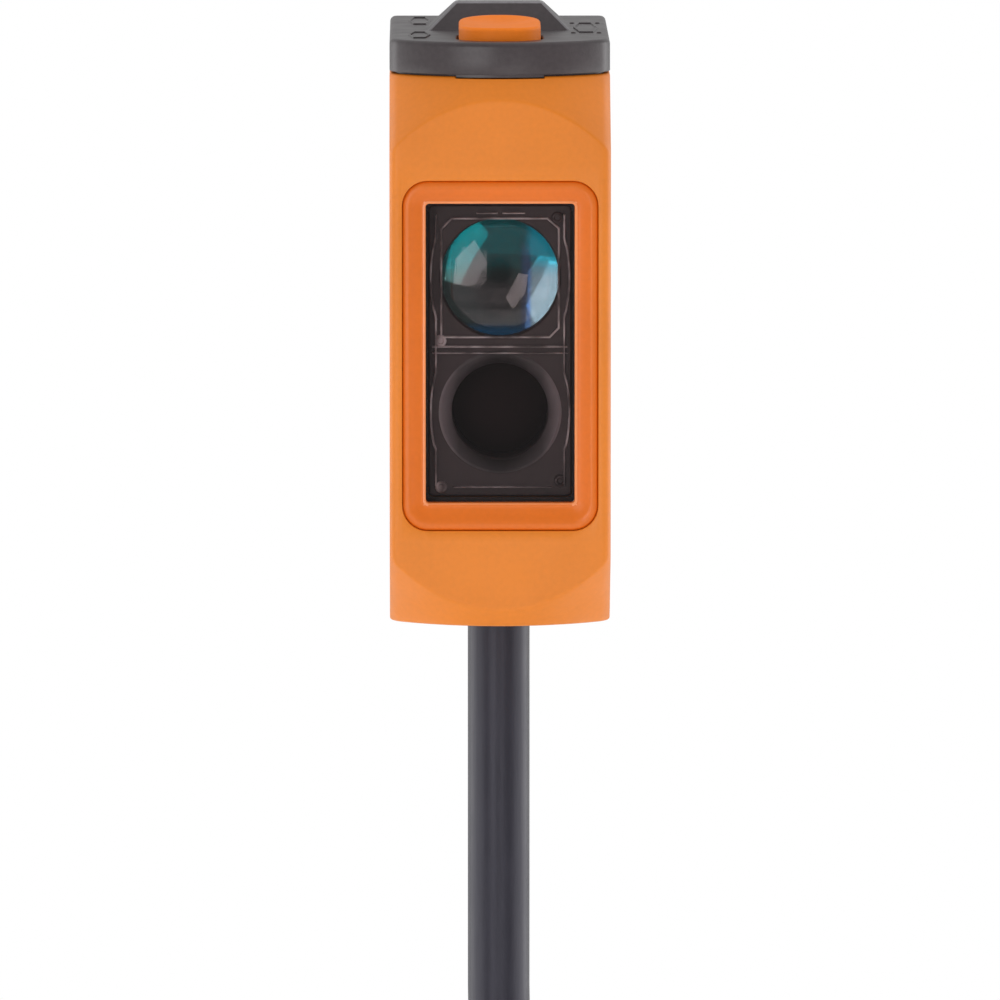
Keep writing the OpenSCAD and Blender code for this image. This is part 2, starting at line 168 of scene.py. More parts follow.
def make_world():
    """White behind the object, dimmer on the camera's side, as in a light tent with an open front."""
    world = bpy.data.worlds.new("studio")
    world.use_nodes = True
    scene.world = world
    tree = Nodes(world.node_tree)
    tree.nodes.clear()
    direction = tree.add("ShaderNodeTexCoord").outputs["Generated"]
    split = tree.add("ShaderNodeSeparateXYZ", direction)
    front = [(0.0, 0.12), (0.0036, 0.14), (0.0068, 0.50), (0.3, 0.86)]
    rear = [(0.52, 1.05), (0.72, 1.0), (0.92, 0.75), (1.0, 0.50)]
    depth = tree.ramp(tree.scaled(split.outputs["Y"], 0.5, 0.5), front + rear)
    rise = tree.scaled(split.outputs["Z"], 0.5, 0.5)
    height = tree.ramp(rise, [(0.0, 1.6), (0.35, 1.3), (0.55, 1.0), (1.0, 1.0)])
    tent = tree.mix("MULTIPLY", 1.0, depth, height)
    around = tree.add("ShaderNodeBackground", tent)
    plain = tree.add("ShaderNodeBackground", (1, 1, 1, 1))
    path = tree.add("ShaderNodeLightPath")
    both = tree.add("ShaderNodeMixShader", path.outputs["Is Camera Ray"], around, plain)
    tree.add("ShaderNodeOutputWorld", both)


# -------- node trees


class Nodes:
    """Short calls that add nodes to a tree; an input may be a value, a socket or a node."""

    def __init__(self, tree):
        self.nodes, self.links = tree.nodes, tree.links

    def feed(self, socket, value):
        if value is None:
            return
        if isinstance(value, bpy.types.Node):
            value = value.outputs[0]
        if isinstance(value, bpy.types.NodeSocket):
            self.links.new(value, socket)
        else:
            socket.default_value = value

    def add(self, kind, *values, **named):
        node = self.nodes.new(kind)
        for socket, value in zip(node.inputs, values):
            self.feed(socket, value)
        for key, value in named.items():
            setattr(node, key, value)
        return node

    def fill(self, node, **values):
        """Feeds a node's sockets by their names, with underscores for spaces; None is left out."""
        for key, value in values.items():
            self.feed(node.inputs[key.replace("_", " ")], value)
        return node

    def maths(self, operation, *values):
        return self.add("ShaderNodeMath", *values, operation=operation).outputs[0]

    def scaled(self, value, factor, added):
        return self.maths("MULTIPLY_ADD", value, factor, added)

    def place(self):
        """Coordinates that stay with the object, in metres."""
        return self.add("ShaderNodeTexCoord").outputs["Object"]

    def mix(self, blend, factor, a, b):
        node = self.add("ShaderNodeMix", data_type="RGBA", blend_type=blend)
        return self.fill(node, Factor=factor, A=a, B=b).outputs["Result"]

    def ramp(self, value, stops):
        """Colours along a value; a stop's colour may be one number for a grey."""
        node = self.add("ShaderNodeValToRGB", value)
        elements = node.color_ramp.elements
        while len(elements) < len(stops):
            elements.new(0.5)
        for element, (place, colour) in zip(elements, stops):
            element.position = place
            element.color = (*colour, 1) if isinstance(colour, tuple) else (colour, colour, colour, 1)
        return node.outputs[0]

    def noise(self, scale, detail=3.0, rough=0.5, stretch=None):
        """A noise that keeps its place on the object; scale is in waves per metre."""
        where = self.place()
        if stretch:
            where = self.fill(self.add("ShaderNodeMapping", where), Scale=stretch)
        node = self.add("ShaderNodeTexNoise", where)
        return self.fill(node, Scale=scale, Detail=detail, Roughness=rough).outputs["Fac"]

    def span(self, value, to_low, to_high):
        """The middle of a noise's range, 0.3 to 0.7, stretched over another range."""
        node = self.add("ShaderNodeMapRange", value)
        return self.fill(node, From_Min=0.3, From_Max=0.7, To_Min=to_low, To_Max=to_high).outputs[0]

    def bump(self, height, depth):
        """Relief with a depth in millimetres."""
        node = self.add("ShaderNodeBump")
        return self.fill(node, Strength=1.0, Distance=depth * MM, Height=height).outputs[0]

    def dress(self, shader, colour=None, roughness=None, normal=None):
        """Feeds a shader's colour, roughness and normal; what isn't given keeps its plain value."""
        self.fill(shader, Base_Color=colour, Roughness=roughness, Normal=normal)


def new_material(name, **plain):
    """A Principled material with plain values on its sockets; returns it with its tree and shader."""
    material = bpy.data.materials.new(name)
    material.use_nodes = True
    tree = Nodes(material.node_tree)
    shader = tree.fill(tree.nodes["Principled BSDF"], **plain)
    return material, tree, shader


ORANGE = (0.80, 0.218, 0.010)
GRAIN = 4200
RIM_REACH = 4.1


def shade(colour, factor):
    return tuple(min(1.0, c * factor) for c in colour)


def moulded(name, colour, roughness, grain=0.004, vary=0.05, shine=0.5):
    """Moulded plastic: a fine eroded grain, a slow drift of colour and a little wear in the gloss."""
    material, tree, shader = new_material(name, Specular_IOR_Level=shine)
    drift = tree.maths("MULTIPLY", tree.noise(140, 2.0), 0.65)
    both = tree.scaled(tree.noise(2600, 2.0), 0.35, drift)
    tint = tree.ramp(both, [(0.35, shade(colour, 1 - vary)), (0.65, shade(colour, 1 + vary))])
    gloss = tree.span(tree.noise(520, 3.0), roughness - 0.04, roughness + 0.04)
    height = tree.scaled(tree.noise(GRAIN / 7, 2.0), 0.6, tree.noise(GRAIN, 2.0))
    tree.dress(shader, tint, gloss, tree.bump(height, grain))
    return material


def painted_highlight_edge(name):
    """Painted highlight for the black frame's ribs and two pin heads: a near-white colour, uneven along their
    length, stands in for light catching them.
    """
    material, tree, shader = new_material(name, Roughness=0.3)
    wear = tree.noise(420, 2.0, 0.6)
    stops = [(0.40, (0.18, 0.16, 0.16)), (0.52, (0.60, 0.56, 0.56)), (0.62, (0.95, 0.92, 0.92))]
    tint = tree.ramp(wear, stops)
    tree.dress(shader, tint, None, tree.bump(wear, 0.01))
    return material


def painted_light_rim(name):
    """The funnel's mouth: dark plastic with painted light, paler towards its left and right sides and darker
    at top and bottom; a faint cloud of tone varies it.
    """
    material, tree, shader = new_material(name, Roughness=0.42)
    split = tree.add("ShaderNodeSeparateXYZ", tree.place())
    across = tree.maths("ABSOLUTE", tree.maths("MULTIPLY", split.outputs["X"], 1 / (RIM_REACH * MM)))
    cloud = tree.scaled(tree.noise(700, 2.0), 0.16, -0.08)
    # Painted light: paler the further across X from the middle, darker above and below it.
    tint = tree.ramp(
        tree.maths("ADD", across, cloud),
        [(0.1, (0.026, 0.024, 0.025)), (0.70, (0.095, 0.088, 0.092)), (1.0, (0.26, 0.24, 0.25))],
    )
    tree.dress(shader, tint, None, tree.bump(tree.noise(GRAIN, 2.0), 0.005))
    return material


def metal(name, colour, roughness, stretch=(1, 1, 1)):
    """Drawn or turned metal: fine lines along one axis and cloudy gloss."""
    material, tree, shader = new_material(name, Metallic=1.0)
    lines = tree.noise(2200, 3.0, 0.6, stretch)
    tint = tree.ramp(lines, [(0.3, shade(colour, 0.86)), (0.7, colour)])
    cloud = tree.scaled(tree.noise(260), 0.5, tree.maths("MULTIPLY", lines, 0.5))
    tree.dress(shader, tint, tree.span(cloud, roughness - 0.06, roughness + 0.1), tree.bump(lines, 0.003))
    return material


def clear_plastic(name):
    """Clear moulded plastic with a faint haze."""
    material, tree, shader = new_material(name, Transmission_Weight=0.9, IOR=1.49, Roughness=0.12)
    haze = tree.ramp(tree.noise(900), [(0.3, (0.80, 0.82, 0.82)), (0.7, (0.92, 0.93, 0.93))])
    tree.dress(shader, haze, None, tree.bump(tree.noise(1500), 0.002))
    return material


def board_laminate(name):
    """Green solder mask over copper: lighter tracks in a rectangular net, and a fine weave below."""
    material, tree, shader = new_material(name, Coat_Weight=0.4, Coat_Roughness=0.15)
    tracks = tree.add("ShaderNodeTexVoronoi", tree.place(), distance="CHEBYCHEV", feature="DISTANCE_TO_EDGE")
    tree.fill(tracks, Scale=900)
    colour = tree.ramp(tracks.outputs[0], [(0.04, (0.02, 0.16, 0.07)), (0.09, (0.01, 0.075, 0.035))])
    weave = tree.noise(3000, 1.0, 0.5, (1, 1, 4))
    tint = tree.mix("OVERLAY", 0.3, colour, weave)
    tree.dress(shader, tint, tree.span(weave, 0.32, 0.5), tree.bump(tracks.outputs[0], 0.02))
    return material


def window_pane(name):
    """Smoke-tinted acrylic, polished: a see-through tint under a mirror that grows at a glance."""
    mirror = (0.95, 0.95, 0.95, 1)
    material, tree, shader = new_material(name, Roughness=0.02, Metallic=1.0, Base_Color=mirror)
    tint = tree.ramp(tree.noise(90, 1.0), [(0.3, (0.80, 0.76, 0.765)), (0.7, (0.83, 0.79, 0.79))])
    through = tree.add("ShaderNodeBsdfTransparent", tint)
    glance = tree.add("ShaderNodeLayerWeight").outputs["Facing"]
    edge = tree.scaled(tree.maths("POWER", glance, 5.0), 0.9, 0.035)
    tree.dress(shader, normal=tree.bump(tree.noise(700, 2.0), 0.0006))
    both = tree.add("ShaderNodeMixShader", edge, through, shader)
    tree.fill(tree.nodes["Material Output"], Surface=both)
    return material


def lens_body(name):
    """Coated optical glass, clear enough to show the coloured disc with its painted reflections on its back.
    """
    glass = {"Transmission_Weight": 1.0, "IOR": 1.5, "Roughness": 0.0}
    coat = {"Coat_Weight": 0.5, "Coat_Roughness": 0.015, "Coat_IOR": 1.6}
    material, tree, shader = new_material(name, **glass, **coat)
    tree.dress(shader, tree.ramp(tree.noise(400, 1.0), [(0.3, (0.93, 0.96, 0.97)), (0.7, (0.97, 0.99, 1.0))]))
    return material


def lens_painted_reflections(name, centre_z, radius):
    """Mirror disc behind the lens, coloured by place: teals that shift with height, and painted reflections
    (a pale and bright blue crescent down the right, a blue band beside it and a blue glint at the bottom
    edge) that stand in for the surroundings mirrored in the lens.
    """
    material, tree, shader = new_material(name, Metallic=1.0, Roughness=0.03)
    mapping = tree.add("ShaderNodeMapping", tree.place())
    size = 1 / (radius * MM)
    tree.fill(mapping, Scale=(size, size, size), Location=(0, 0, -centre_z * MM * size))
    split = tree.add("ShaderNodeSeparateXYZ", mapping.outputs[0])
    wobble = tree.scaled(tree.noise(260, 1.0), 0.12, -0.06)
    rise = tree.scaled(tree.maths("ADD", split.outputs["Z"], wobble), 0.5, 0.5)
    across = tree.scaled(tree.maths("ADD", split.outputs["X"], wobble), 0.5, 0.5)
    # Painted reflections: the blue at the bottom of the left half, the pale and bright blues of the right
    # half and the blue stripe; the teals shift with height.
    low_left = [(0.04, (0.02, 0.16, 0.34)), (0.12, (0.07, 0.12, 0.115)), (0.40, (0.06, 0.105, 0.10))]
    high_left = [(0.58, (0.03, 0.15, 0.14)), (0.78, (0.0, 0.13, 0.14)), (1.0, (0.0, 0.16, 0.17))]
    low_right = [(0.0, (0.15, 0.25, 0.30)), (0.30, (0.15, 0.25, 0.29)), (0.50, (0.15, 0.25, 0.29))]
    mid_right = [(0.58, (0.08, 0.24, 0.30)), (0.66, (0.02, 0.42, 0.55))]
    high_right = [(0.80, (0.0, 0.40, 0.54)), (1.0, (0.0, 0.20, 0.26))]
    left_half = tree.ramp(rise, low_left + high_left)
    right_half = tree.ramp(rise, low_right + mid_right + high_right)
    band = tree.ramp(across, [(0.66, 0), (0.69, 1), (0.74, 1), (0.77, 0)])
    lower = tree.ramp(rise, [(0.62, 1), (0.80, 0.1)])
    stripe = tree.maths("MULTIPLY", band, lower)
    side = tree.ramp(across, [(0.70, 0), (0.76, 1)])
    both = tree.mix("MIX", side, left_half, right_half)
    striped = tree.mix("MIX", stripe, both, (0.06, 0.15, 0.32, 1))
    away = tree.add("ShaderNodeVectorMath", mapping.outputs[0], operation="LENGTH")
    upper = tree.ramp(rise, [(0.52, 0), (0.60, 1)])
    outer = tree.ramp(away.outputs["Value"], [(0.62, 0), (0.68, 0.8)])
    rim = tree.maths("MULTIPLY", upper, outer)
    left = tree.ramp(across, [(0.60, 1), (0.72, 0)])
    rim_left = tree.maths("MULTIPLY", rim, left)
    tree.dress(shader, tree.mix("MIX", rim_left, striped, (0.0, 0.15, 0.16, 1)))
    return material


def jacket(name):
    """Matt polyurethane cable jacket: a faint lay of the cores below and fine extrusion lines."""
    gleam = (0.90, 0.88, 1.0, 1)
    material, tree, shader = new_material(name, Specular_IOR_Level=0.34, Specular_Tint=gleam)
    lines = tree.noise(3000, 3.0, 0.55, (1, 1, 0.12))
    cloud = tree.noise(220, 2.0)
    both = tree.scaled(lines, 0.5, tree.maths("MULTIPLY", cloud, 0.5))
    tint = tree.ramp(both, [(0.35, (0.010, 0.009, 0.015)), (0.65, (0.016, 0.015, 0.023))])
    tree.dress(shader, tint, tree.span(cloud, 0.34, 0.42), tree.bump(both, 0.02))
    return material


make_camera()

# Finishes of the moulded pieces: colour, roughness and what differs from the usual grain and gloss
PLASTICS = {
    "orange_plastic": (ORANGE, 0.5, {"shine": 0.33}),
    "orange_frame": ((0.78, 0.162, 0.006), 0.36, {"grain": 0.002, "shine": 0.3}),
    "orange_button": ((0.92, 0.225, 0.020), 0.5, {"grain": 0.002, "shine": 0.07}),
    "dark_plastic": ((0.044, 0.034, 0.037), 0.36, {"grain": 0.009, "vary": 0.22, "shine": 0.38}),
    "black_plastic": ((0.043, 0.029, 0.030), 0.42, {"vary": 0.2}),
    # Painted highlight for the window frame's inner bead.
    "frame_edge_highlight": ((0.95, 0.30, 0.09), 0.34, {"vary": 0.08}),
    # Painted highlight for the guard's rounded edges.
    "cap_edge_highlight": ((0.16, 0.15, 0.16), 0.34, {"vary": 0.3}),
    "red_lens": ((0.034, 0.022, 0.023), 0.75, {"grain": 0.001, "shine": 0.05}),
    "rubber_seal": ((0.020, 0.020, 0.021), 0.62, {"grain": 0.008}),
    "component_plastic": ((0.022, 0.022, 0.024), 0.5, {"vary": 0.15}),
    "component_tan": ((0.42, 0.27, 0.14), 0.5, {"vary": 0.12}),
    "plunger_plastic": ((0.62, 0.60, 0.52), 0.4, {}),
    "tie_nylon": ((0.016, 0.016, 0.017), 0.34, {}),
    "core_insulation": ((0.30, 0.13, 0.06), 0.4, {}),
}
MATERIALS = {
    "painted_highlight_edge": painted_highlight_edge("painted_highlight_edge"),
    "rim_painted_light": painted_light_rim("rim_painted_light"),
    "window_plastic": window_pane("window_plastic"),
    "lens_glass": lens_body("lens_glass"),
    "circuit_board": board_laminate("circuit_board"),
    "contact_metal": metal("contact_metal", (0.83, 0.62, 0.26), 0.26),
    "tin_plate": metal("tin_plate", (0.62, 0.63, 0.64), 0.34),
    "sleeve_steel": metal("sleeve_steel", (0.66, 0.67, 0.69), 0.28, (0.1, 1, 1)),
    "clamp_brass": metal("clamp_brass", (0.76, 0.57, 0.25), 0.3),
    "clear_plastic": clear_plastic("clear_plastic"),
    "cable_jacket": jacket("cable_jacket"),
}
for name, (tone, gloss, rest) in PLASTICS.items():
    MATERIALS[name] = moulded(name, tone, gloss, **rest)

# -------- meshes


def sines(*angles):
    """Sine and cosine of each angle, in degrees."""
    return [(sin(radians(a)), cos(radians(a))) for a in angles]


def arc(cx, cy, r, start, end, steps):
    """Points on an arc, in degrees, both ends included."""
    angles = [start + (end - start) * i / steps for i in range(steps + 1)]
    return [(cx + r * c, cy + r * s) for s, c in sines(*angles)]


def rounded(w, h, r, cx=0.0, cy=0.0, steps=8):
    """Outline of a rectangle with round corners, anticlockwise."""
    x, y = w / 2 - r, h / 2 - r
    points = []
    for dx, dy, start in ((x, -y, -90), (x, y, 0), (-x, y, 90), (-x, -y, 180)):
        points += arc(cx + dx, cy + dy, r, start, start + 90, steps)
    return points


def circle(r, cx=0.0, cy=0.0, steps=64):
    return arc(cx, cy, r, 0, 360, steps)[:-1]


def upright(outline, y):
    return [(u, y, v) for u, v in outline]


def level(outline, z):
    return [(u, v, z) for u, v in outline]


def sideways(outline, x):
    return [(x, u, v) for u, v in outline]


def loft(loops, ring=False):
    """A skin over loops of equally many points, capped at both ends unless it closes as a ring."""
    n = len(loops[0])
    points = [p for loop in loops for p in loop]
    faces = []
    for i in range(len(loops) if ring else len(loops) - 1):
        a, b = i * n, (i + 1) % len(loops) * n
        for k in range(n):
            m = (k + 1) % n
            faces.append((a + k, a + m, b + m, b + k))
    if not ring:
        faces.append(tuple(range(n)))
        faces.append(tuple(range(len(points) - n, len(points))))
    return points, faces


def stack(lay, outline, rows):
    """A skin over loops of one outline: each row is a place for lay and a size for outline."""
    return loft([lay(outline(size), place) for place, size in rows])


def lathe(profile, place, axis, steps=64):
    """A closed profile of (radius, height) turned about an axis through place."""
    turned = []
    for i in range(steps):
        a = 2 * pi * i / steps
        loop = []
        for r, h in profile:
            u, v = r * cos(a), r * sin(a)
            point = {"x": (h, u, v), "y": (u, h, v), "z": (u, v, h)}[axis]
            loop.append(tuple(p + q for p, q in zip(point, place)))
        turned.append(loop)
    return loft(turned, ring=True)


def box(low, high):
    outline = [(low[0], low[1]), (high[0], low[1]), (high[0], high[1]), (low[0], high[1])]
    return loft([level(outline, low[2]), level(outline, high[2])])


def build(name, *parts):
    """One object, in millimetres, from one or more closed skins."""
    mesh = bpy.data.meshes.new(name)
    points, faces = [], []
    for part_points, part_faces in parts:
        start = len(points)
        points += part_points
        faces += [tuple(start + i for i in face) for face in part_faces]
    mesh.from_pydata(points, [], faces)
    work = bmesh.new()
    work.from_mesh(mesh)
    bmesh.ops.remove_doubles(work, verts=work.verts, dist=1e-5)
    bmesh.ops.dissolve_degenerate(work, edges=work.edges, dist=1e-6)
    bmesh.ops.recalc_face_normals(work, faces=work.faces)
    work.to_mesh(mesh)
    work.free()
    return placed(name, mesh)


def carve(piece, operation, *parts):
    """Cuts parts from a piece or joins them to it, one after another; a part is a skin or an object."""
    for part in parts:
        tool = build("tool", part) if isinstance(part, tuple) else part
        change = piece.modifiers.new("change", "BOOLEAN")
        change.operation = operation
        change.object = tool
        change.solver = "EXACT"
        bpy.context.view_layer.update()
        shaped = piece.evaluated_get(bpy.context.evaluated_depsgraph_get())
        mesh = bpy.data.meshes.new_from_object(shaped)
        piece.modifiers.clear()
        piece.data = mesh
        bpy.data.objects.remove(tool)


def cut(piece, *parts):
    carve(piece, "DIFFERENCE", *parts)


def soften(piece, width):
    """Rounds the sharp edges of a simple solid."""
    work = bmesh.new()
    work.from_mesh(piece.data)
    sharp = radians(30)
    edges = [e for e in work.edges if len(e.link_faces) == 2 and e.calc_face_angle() > sharp]
    bmesh.ops.bevel(work, geom=edges, offset=width, segments=3, profile=0.5, affect="EDGES")
    work.to_mesh(piece.data)
    work.free()


def join(piece, extra):
    """Adds another object's mesh to a piece and removes that object."""
    merged = bmesh.new()
    merged.from_mesh(piece.data)
    merged.from_mesh(extra.data)
    merged.to_mesh(piece.data)
    merged.free()
    bpy.data.objects.remove(extra)


def finish(piece, slot, *replaced, body="sensor", sharp=32, material=None):
    """Turns a piece into metres, gives it its finish and fastens it to its body."""
    piece.data.transform(Matrix.Scale(MM, 4))
    piece.data.materials.clear()
    piece.data.materials.append(material or MATERIALS[slot])
    piece.data.shade_smooth()
    piece.data.set_sharp_from_angle(angle=radians(sharp))
    even = piece.modifiers.new("even", "WEIGHTED_NORMAL")
    even.keep_sharp = True
    even.weight = 80
    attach(piece, body)
    if replaced:
        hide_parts(*replaced)


# -------- cable

COIL_R = 23.4
COIL_Z = -100.0
COIL_Y = CABLE_Y + CABLE_D
END_DROP = 18.0
CORE_L = 16.0
FERRULE_L = 6.0
END_X = -(COIL_R + CABLE_D)
END_LOW = COIL_Z - END_DROP

# Route from the gland to the coil, in X and Z
ROUTE = [
    (0, -20.7), (0, -30), (0, -40), (0, -47), (0, -53), (-1, -59),
    (-3.4, -63.5), (-5.4, -66), (-10, -70.6), (-15, -75.6), (-19.6, -80.2),
]
# Place of each turn in the bundle: steps out from the mean radius, and layer from the front
TURNS = [
    (1, 1), (1, 0), (0, 0), (-1, 0), (-1, 1), (0, 1), (0, 2),
    (-1, 2), (-1, 3), (0, 3), (0, 4), (1, 4), (1, 3), (1, 2),
]
START_ANGLE = 135
END_ANGLE = 180
SHIFT_ANGLE = 90
SHIFT_HALF = 25
TURN_STEP = 15


def bundle_place(angle):
    """Radius and depth of the cable at an angle that keeps counting from turn to turn."""
    turn = (angle - SHIFT_ANGLE + SHIFT_HALF) / 360
    k = min(int(turn), len(TURNS) - 1)
    part = min(1.0, (turn - k) * 360 / (2 * SHIFT_HALF))
    share = part * part * (3 - 2 * part)
    before = TURNS[max(k - 1, 0)]
    after = TURNS[k]
    out, layer = (a + (b - a) * share for a, b in zip(before, after))
    return COIL_R + out * CABLE_D, COIL_Y + (layer - 2) * CABLE_D


def cable_points():
    points = [(x, CABLE_Y, z) for x, z in ROUTE[:-1]]
    last = END_ANGLE + 360 * (len(TURNS) - 1)
    for i in range((last - START_ANGLE) // TURN_STEP + 1):
        angle = START_ANGLE + i * TURN_STEP
        r, y = bundle_place(angle)
        a = radians(angle)
        points.append((r * cos(a), y, COIL_Z + r * sin(a)))
    for drop in (6.0, 12.0, END_DROP):
        points.append((END_X, COIL_Y, COIL_Z - drop))
    return points


def make_cable():
    points = cable_points()
    data = bpy.data.curves.new("cable_line", "CURVE")
    data.dimensions = "3D"
    data.bevel_depth = CABLE_R * MM
    data.bevel_resolution = 6
    data.resolution_u = 4
    data.use_fill_caps = True
    spline = data.splines.new("BEZIER")
    spline.bezier_points.add(len(points) - 1)
    for knot, point in zip(spline.bezier_points, points):
        knot.co = Vector(point) * MM
        knot.handle_left_type = knot.handle_right_type = "AUTO"
    data.materials.append(MATERIALS["cable_jacket"])
    cable = placed("cable_line", data)
    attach(cable, "sensor")
    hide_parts("cable", "cable_coil", "cable_end")
    length = sum(dist(a, b) for a, b in zip(points, points[1:]))
    return cable, length


def tie_teeth(x):
    """Fine teeth on the strap's outside, below its lock."""
    starts = [-8 + 0.8 * k for k in range(6)]
    return [box((x - 0.05, start, -1.1), (x + 0.12, start + 0.4, 1.1)) for start in starts]


def make_ties():
    """Two nylon straps round the bundle, each with its lock on the outside of the coil."""
    made = []
    inner_w = 3 * CABLE_D + 0.5
    inner_h = 5 * CABLE_D + 0.4
    thick = 0.9
    half = 1.6

    def around(grow):
        return rounded(inner_w + 2 * grow, inner_h + 2 * grow, CABLE_R + grow)

    section = [(0, -half), (thick - 0.15, -half), (thick, 0.2 - half)]
    section += [(thick, half - 0.2), (thick - 0.15, half), (0, half)]
    x = inner_w / 2
    for i, angle in enumerate((0, 90)):
        strap = loft([level(around(grow), z) for grow, z in section], ring=True)
        lock = build("tie_lock", box((x + 0.05, -2.6, -2.4), (x + 4, 2.6, 2.4)))
        soften(lock, 0.45)
        cut(lock, box((x + 1.2, -1.9, -3), (x + 2.6, 1.5, 3)))
        tie = build(f"cable_tie_{i + 1}", strap, *tie_teeth(x + thick))
        join(tie, lock)
        tie.data.transform(Matrix.Translation((COIL_R, 0, 0)))
        tie.data.transform(Matrix.Rotation(radians(angle), 4, "Y"))
        tie.data.transform(Matrix.Translation((0, COIL_Y, COIL_Z)))
        finish(tie, "tie_nylon", "cable_ties")
        made.append(tie)
    return made


CORE_COLOURS = {
    "brown": (0.16, 0.055, 0.022),
    "white": (0.72, 0.72, 0.69),
    "blue": (0.02, 0.10, 0.42),
    "black": (0.018, 0.018, 0.020),
}
CORE_R = 0.48
CORE_GAP = 1.2
CORE_SPREAD = 0.55
CORE_HIDDEN = 1.5


def make_core_ends():
    """Four stripped cores that spread a little, each with a crimped sleeve on its tip."""
    made = []
    steps = 16
    for i, (name, colour) in enumerate(CORE_COLOURS.items()):
        dx, dy = (i % 2 - 0.5) * CORE_GAP, (i // 2 - 0.5) * CORE_GAP
        start = circle(CORE_R - 0.06, END_X + dx, COIL_Y + dy, 20)
        loops = [level(start, END_LOW + CORE_HIDDEN + 0.05)]
        for k in range(steps + 1):
            t = k / steps
            spread = 1 + CORE_SPREAD * sin(pi * t * 0.5) ** 2
            here = circle(CORE_R, END_X + dx * spread, COIL_Y + dy * spread, 20)
            loops.append(level(here, END_LOW + CORE_HIDDEN - (CORE_L + CORE_HIDDEN) * t))
        core = build(f"core_{name}", loft(loops))
        skin = moulded(f"core_{name}", colour, 0.4, grain=0.003)
        finish(core, "core_insulation", "core_ends", material=skin)
        spread = 1 + CORE_SPREAD
        tip = (END_X + dx * spread, COIL_Y + dy * spread, END_LOW - CORE_L)
        profile = [(0.0, 0.4), (0.44, 0.4), (0.5, 0.3), (0.5, 0.0), (0.4, -0.4)]
        for k in range(6):
            z = -0.9 - 0.75 * k
            profile += [(0.40, z), (0.33, z - 0.18), (0.33, z - 0.38), (0.40, z - 0.55)]
        profile += [(0.38, -FERRULE_L + 0.1), (0.30, -FERRULE_L), (0.0, -FERRULE_L)]
        sleeve = build(f"ferrule_{name}", lathe(profile, tip, "z", 24))
        finish(sleeve, "tin_plate", "ferrules")
        made += [core, sleeve]
    return made


# -------- housing

CORNER_R = 0.6
BEVEL_R = 12.75
BEVEL_TOP = 1.5
BEVEL_BOTTOM = 1.3
SOFT_CREASE = 0.12
STRAIGHT_Z = 13.1
EDGE_R = 0.2
COLUMNS = 56


def front_columns():
    """Places across the front, left to right, with how far the round corner falls back at each."""
    span = HALF_W - CORNER_R
    corner = sines(90, 78, 66, 52, 38, 24, 12)
    left = [(-(span + CORNER_R * s), CORNER_R * (1 - c)) for s, c in corner]
    middle = [(span * (2 * i / COLUMNS - 1), 0.0) for i in range(COLUMNS + 1)]
    return left + middle + [(-x, f) for x, f in reversed(left)]


def back_corners():
    """The plan's two back corners, from the right side to the left one."""
    x, y = HALF_W - CORNER_R, BACK - CORNER_R
    return arc(x, y, CORNER_R, 0, 90, 6) + arc(-x, y, CORNER_R, 90, 180, 6)


def bow(x):
    """How far a bevel's edge runs down towards the middle of the body, at a place across it."""
    return sqrt(2) * (BEVEL_R - sqrt(BEVEL_R**2 - x * x))


def bow_slope(x):
    return sqrt(2) * abs(x) / sqrt(BEVEL_R**2 - x * x)


def bevel_edge(x, side):
    """Height of the line where the flat front meets the upper (1) or lower (-1) bevel."""
    if side > 0:
        return TOP - BEVEL_TOP - bow(x)
    return BOTTOM + BEVEL_BOTTOM + bow(x)


def front_face(x, z, fillet):
    """Depth coordinate of the housing's front at a place across and a height."""
    depth, slope = 0.0, 0.0
    for side in (1, -1):
        past = side * (z - bevel_edge(x, side))
        depth += (past + hypot(past, SOFT_CREASE)) / 2
        slope += min(1.0, max(0.0, past / 1.2)) * bow_slope(x)
    return FRONT + depth + fillet * hypot(1, slope)


def shrunk(outline, inset):
    """A closed outline moved inwards by a small step."""
    if not inset:
        return outline
    n = len(outline)
    moved = []
    for i in range(n):
        (ax, ay), (bx, by) = outline[i - 1], outline[(i + 1) % n]
        dx, dy = bx - ax, by - ay
        length = hypot(dx, dy) or 1
        x, y = outline[i]
        moved.append((x - dy / length * inset, y + dx / length * inset))
    return moved


def housing_row(height, inset=0.0):
    """One loop round the housing; height(x) is where the loop runs on the front."""
    columns = front_columns()
    side_z = height(HALF_W)
    front = [(x, front_face(x, height(x), fillet)) for x, fillet in columns]
    heights = [height(x) for x, _ in columns]
    back = back_corners()
    outline = shrunk(front + back, inset)
    heights += [side_z] * len(back)
    return [(x, y, z) for (x, y), z in zip(outline, heights)]


def housing_rows():
    def flat_end(side, drop, inset):
        end = TOP if side > 0 else BOTTOM
        return housing_row(lambda x: end - side * drop, inset)

    def beyond(side, share):
        end = TOP - EDGE_R if side > 0 else BOTTOM + EDGE_R
        return housing_row(lambda x: bevel_edge(x, side) + share * (end - bevel_edge(x, side)))

    def near(side, step):
        return housing_row(lambda x: bevel_edge(x, side) + side * step)

    rows = [flat_end(-1, EDGE_R * (1 - s), EDGE_R * (1 - c)) for s, c in sines(90, 60, 30)]
    rows += [beyond(-1, share) for share in (1, 0.8, 0.6, 0.45, 0.32)]
    rows += [near(-1, step) for step in (0.22, 0.12, 0.05, 0, -0.05, -0.12, -0.22)]
    rows += [housing_row(lambda x: share * STRAIGHT_Z) for share in (-1, 0, 1)]
    rows += [near(1, step) for step in (-0.22, -0.12, -0.05, 0, 0.05, 0.12, 0.22)]
    rows += [beyond(1, share) for share in (0.32, 0.45, 0.6, 0.8, 1)]
    rows += [flat_end(1, EDGE_R * (1 - s), EDGE_R * (1 - c)) for s, c in sines(30, 60, 90)]
    return rows


